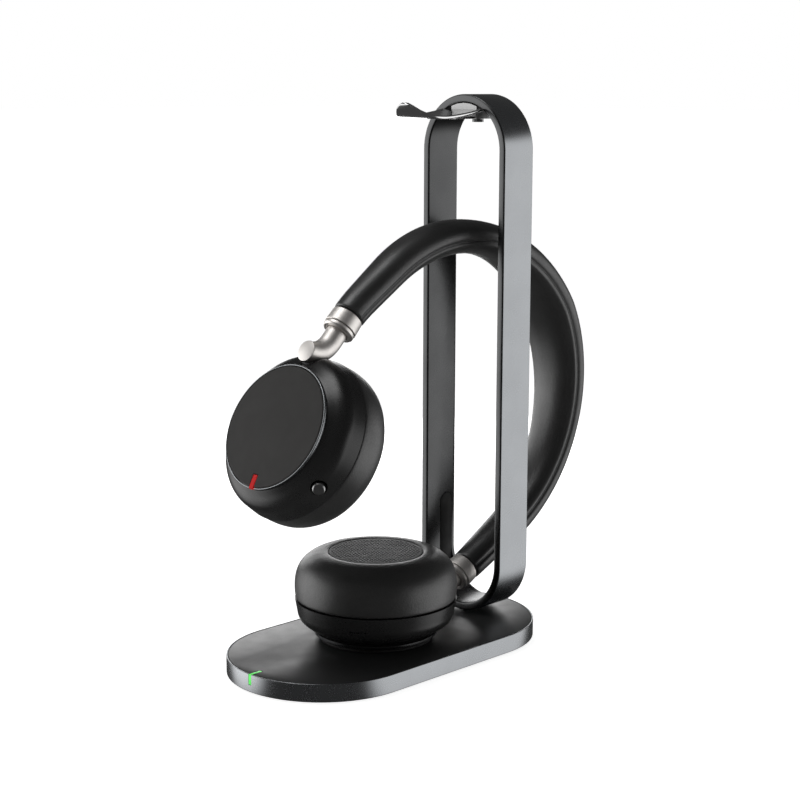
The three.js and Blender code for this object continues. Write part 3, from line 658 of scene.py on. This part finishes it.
def cushion_mesh():
    dense = through(CUSHION, 3)
    for a, b in zip(CUSHION_BACK, CUSHION_BACK[1:]):
        dense += [Vector(a).lerp(Vector(b), k / 7) for k in range(1, 8)]
    obj = mesh_object("cushion_form", lathe(dense[:-1], 132), Matrix(), 60)
    pinned = [v.index for v in obj.data.vertices
              if v.co.z > -18.6 * MM or math.hypot(v.co.x, v.co.y) < 23.0 * MM]
    inflate(obj, pinned, 0.45)
    for v in obj.data.vertices:
        reach = math.hypot(v.co.x, v.co.y) / MM
        angle = math.atan2(v.co.y, v.co.x)
        h = -v.co.z / MM
        if reach > 23.2 and h > 19:
            crown = max(0.0, 1 - abs(h - 37.5) / 5) * max(0.0, 1 - abs(reach - 27) / 7)
            x, y = math.cos(angle), math.sin(angle)
            pucker = 0.1 * crown * noise.noise(Vector((x * 9, y * 9, reach * 0.2)))
            swell = 0.16 * noise.noise(Vector((x * 2.1, y * 2.1, h * 0.05)))
            v.co += Vector((x, y, -0.6)) * (pucker + swell) * MM
    return obj


form = cushion_mesh()
for side in ("lower", "upper"):
    cushion = bpy.data.objects.new(f"{side}_cushion", form.data.copy())
    scene.collection.objects.link(cushion)
    cushion.matrix_world = scaled(PLACE[side])
    cushion.data.materials.append(PAINT["black_leather"])
    cushion.modifiers.new("finer", "SUBSURF").render_levels = 1
    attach(cushion, f"{side}_cup")
    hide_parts(f"{side}_ear_cushion")
bpy.data.objects.remove(form)


# Joystick, arms and collars ----------------------------------------------------------------------
def knurl(angle, r, z):
    return r + (0.11 * math.cos(26 * angle) if r > 2.6 and z < 1.2 else 0)


key_place = PLACE["upper"] @ KEY_FRAME
knob = fillet([(0, 1.45), (1.5, 1.7), (2.3, 1.7), (2.8, 1.2), (2.8, -2), (0, -2)], 0.2, closed=False)
piece("joystick_cap", lathe(knob, 208, knurl), "joystick_knob", PAINT["knob_metal"],
      ["joystick_knob"], key_place)

RING = [(5.3, -5.6), (6.9, -5.6), (7.6, -4.7), (7.6, -3.3), (6.3, -3.3), (6.3, 0.9), (5.3, 0.9)]
FERRULE = [(6.6, -3), (7.6, -3), (7.8, -2.7), (7.5, 3.5), (7.2, 3.8), (6.6, 3.8)]
for side in ("lower", "upper"):
    arm = join(rod(side, ROD_R, ARM_NECK[side] + ROD_INSIDE, chamfer=0.55), tongue(2.4, 0, 0.3))
    bar = piece(f"{side}_arm", arm, f"{side}_arm", PAINT["satin_nickel"], [f"{side}_arm_rod"],
                PLACE[side])
    # Painted shade: the tongue's faces are painted near black, as if in shade inside the shell's notch.
    bar.data.materials.append(PAINT["inner_black"])
    for face in bar.data.polygons:
        face.material_index = 1 if face.center.y < (CAP_T - ROD_R + 0.1) * MM else 0
    collar = Matrix.Translation(arm_point(side, ARM_ANGLE[side], ARM_NECK[side]))
    collar = PLACE[side] @ collar @ aimed(arm_step(side))
    for name, body, node, profile in ((f"{side}_ring", f"{side}_swivel", f"{side}_swivel_ring", RING),
                                      (f"{side}_collar", "headband", f"{side}_ferrule", FERRULE)):
        turned = lathe(fillet(profile, 0.3), 112)
        piece(name, turned, body, PAINT["satin_nickel"], [node], collar)

# Headband ----------------------------------------------------------------------------------------
ARC = BAND_R * (math.pi / 2 + BAND_LEAN)
HALF = ARC + BAND_STRAIGHT + HOOK_LENGTH
ALONG = Vector((0, math.cos(AXIS), math.sin(AXIS)))
ACROSS = Vector((0, -math.sin(AXIS), math.cos(AXIS)))
CENTRE = Vector((0, 46.490, 115.325))


def band_at(distance):
    """Point and outward normal, from the lower collar (0) to the upper one (2 HALF)."""
    sign = -1 if distance < HALF else 1
    hook = HOOK_LENGTH / HOOK["lower" if sign < 0 else "upper"]
    run = abs(distance - HALF)
    turn = min(run, ARC) / BAND_R
    straight = min(max(run - ARC, 0), BAND_STRAIGHT)
    end = turn + max(run - ARC - BAND_STRAIGHT, 0) / hook
    u = BAND_R * math.cos(turn) - straight * math.sin(turn) + hook * (math.cos(end) - math.cos(turn))
    v = BAND_R * math.sin(turn) + straight * math.cos(turn) + hook * (math.sin(end) - math.sin(turn))
    angle = AXIS + sign * end
    return CENTRE + ALONG * u + ACROSS * sign * v, Vector((0, math.cos(angle), math.sin(angle)))


def arm_lift(leg, side):
    hook = HOOK_LENGTH / HOOK[side]
    turn = min(leg, HOOK_LENGTH) / hook
    return (hook * (1 - math.cos(turn)) + max(leg - HOOK_LENGTH, 0) * math.sin(turn)) / math.cos(turn)


def half_section(distance, part):
    """The cover (part 1) or the pad (part -1): crowned outside, dipping to the seam, hollow inside."""
    grow = 1 - (abs(distance - HALF) / HALF) ** 1.1
    leg = HALF - abs(distance - HALF)
    a, b = BAND_TIP + (BAND_WIDE - BAND_TIP) * grow, BAND_TIP + (BAND_THICK - BAND_TIP) * grow
    power = 2 + 0.6 * grow
    level = b * SEAM_SHARE + part * 0.15
    start = math.asin(math.copysign(abs(level / b) ** (power / 2), level))
    finish = (math.pi if part > 0 else -math.pi) - start
    tuck = max(0.0, 1 - (leg - LEATHER_START) / 0.9)
    outer = []
    for k in range(41):
        share = 0.5 - 0.5 * math.cos(math.pi * k / 40)
        t = start + (finish - start) * share
        x = a * math.copysign(abs(math.cos(t)) ** (2 / power), math.cos(t))
        y = b * math.copysign(abs(math.sin(t)) ** (2 / power), math.sin(t))
        near = min(abs(t - start), abs(t - finish)) * b
        pull = 0.75 * math.exp(-((near / 0.8) ** 2)) + 0.55 * tuck**2
        size = math.hypot(x, y)
        outer.append(Vector((x, y)) * (size - pull) / size)
    outer[0].y = outer[-1].y = level
    bore, lift = 5.9, arm_lift(min(leg, 17), "lower" if distance < HALF else "upper")
    foot = math.asin((level - lift) / bore)
    recess, sleeve = (1.6 if part > 0 else -0.3), min(max((17 - leg) / 3, 0), 1)
    inner = []
    for k in range(17):
        x = 1 - k / 8
        angle = foot + ((math.pi if part > 0 else -math.pi) - 2 * foot) * k / 16
        ramp = min(1, (1 - abs(x)) * 8)
        flat = Vector((5.6 * x, level + recess * ramp))
        inner.append(flat.lerp(Vector((bore * math.cos(angle), lift + bore * math.sin(angle))), sleeve))
    return [*outer, *reversed(inner)]


def band_stations():
    near = [LEATHER_START + 0.3 * k for k in range(4)] + [6.5, 8, 10, 12, 14, 15.5, 17, 19]
    middle = list(np.linspace(21, 2 * HALF - 21, 170))
    return [*near, *middle, *[2 * HALF - d for d in reversed(near)]]


for name, part, fill in (("cover", 1, 0.5), ("pad", -1, 0.8)):
    rings = []
    for d in band_stations():
        p, normal = band_at(d)
        rings.append([p + X_AXIS * q.x + normal * q.y for q in half_section(d, part)])
    obj = piece(f"band_{name}", skin(rings), "headband", PAINT["black_leather"],
                [f"headband_{name}"], sharp=50)

# Studio ------------------------------------------------------------------------------------------
bpy.ops.mesh.primitive_plane_add(size=30, location=(0, 0, -0.0002))
floor = bpy.context.object
floor.name = "floor"
p = Paint("floor_paper", Roughness=0.8)
paper = p.mix(p.span(p.noise(3, 2), 0, 1), (0.88, 0.88, 0.88, 1), (0.9, 0.9, 0.9, 1))
p.colour(paper)
p.put(p.bsdf.inputs["Emission Color"], paper)
p.bsdf.inputs["Emission Strength"].default_value = 1.02
p.bsdf.inputs["Specular IOR Level"].default_value = 0.1
floor.data.materials.append(p.material)
floor.visible_glossy = False


class Sky:
    """The studio's walls: white where the camera looks past the object, and a lit band behind it."""

    def __init__(self):
        self.world = bpy.data.worlds.new("studio")
        self.world.use_nodes = True
        self.tree = self.world.node_tree
        self.where = self.tree.nodes.new("ShaderNodeTexCoord").outputs["Generated"]

    def facing(self, direction):
        node = self.tree.nodes.new("ShaderNodeVectorMath")
        node.operation = "DOT_PRODUCT"
        node.inputs[1].default_value = direction
        self.tree.links.new(self.where, node.inputs[0])
        return node.outputs["Value"]

    def step(self, value, low, high):
        node = self.tree.nodes.new("ShaderNodeMapRange")
        node.interpolation_type = "SMOOTHSTEP"
        node.inputs["From Min"].default_value = low
        node.inputs["From Max"].default_value = high
        self.tree.links.new(value, node.inputs["Value"])
        return node.outputs["Result"]

    def combine(self, operation, a, b):
        node = self.tree.nodes.new("ShaderNodeMath")
        node.operation = operation
        for socket, value in zip(node.inputs, (a, b)):
            if isinstance(value, bpy.types.NodeSocket):
                self.tree.links.new(value, socket)
            else:
                socket.default_value = value
        return node.outputs[0]

    def window(self, direction, sides, bottom, top, strength):
        """A soft-edged lit window: its direction, and where its sides, bottom and top fade."""
        height = self.facing((0, 0, 1))
        shape = self.step(self.facing(direction), *sides)
        shape = self.combine("MULTIPLY", shape, self.step(height, *bottom))
        shape = self.combine("MULTIPLY", shape, self.step(height, *top))
        return self.combine("MULTIPLY", shape, strength)


sky = Sky()
left = sky.window((-0.85, -0.527, 0), (0.76, 0.96), (-0.8, -0.2), (0.75, 0.2), 2.0)
right = sky.window((0.686, 0.727, 0), (0.7, 0.9), (-0.9, -0.4), (0.36, 0.16), 1.25)
glow = sky.combine("ADD", sky.combine("ADD", left, right), 0.06)
seen = sky.tree.nodes.new("ShaderNodeLightPath").outputs["Is Camera Ray"]
level = sky.combine("MAXIMUM", glow, seen)
sky.tree.links.new(level, sky.tree.nodes["Background"].inputs["Strength"])
sky.tree.nodes["Background"].inputs["Color"].default_value = (1, 1, 1, 1)
scene.world = sky.world


def softbox(name, place, target, size, radiance):
    data = bpy.data.lights.new(name, "AREA")
    data.shape = "RECTANGLE"
    data.size, data.size_y = size
    data.energy = radiance * math.pi * size[0] * size[1]
    obj = bpy.data.objects.new(name, data)
    obj.location = place
    obj.rotation_euler = (Vector(target) - Vector(place)).to_track_quat("-Z", "Y").to_euler()
    obj.visible_camera = False
    scene.collection.objects.link(obj)


softbox("top_box", (-0.25, -0.3, 1.1), (0, 0, 0.12), (0.5, 0.5), 4)
softbox("low_back_box", (-0.46, 0.32, 0.13), (0, -0.05, 0.02), (0.5, 0.22), 2.4)

camera_data = bpy.data.cameras.new("camera")
camera = bpy.data.objects.new("camera", camera_data)
scene.collection.objects.link(camera)
forward = Vector((-0.6911, 0.6996, -0.1813))
camera.location = (0.5599, -0.5543, 0.2661)
camera.rotation_mode = "QUATERNION"
camera.rotation_quaternion = forward.to_track_quat("-Z", "Y") @ Quaternion((0, 0, 1), math.radians(0.176))
camera_data.sensor_width = 36
camera_data.lens = 1726.45 * 36 / 800
camera_data.shift_x = -0.005
camera_data.shift_y = 0.0025
camera_data.clip_start, camera_data.clip_end = 0.01, 60
scene.camera = camera
scene.view_settings.view_transform = "Standard"
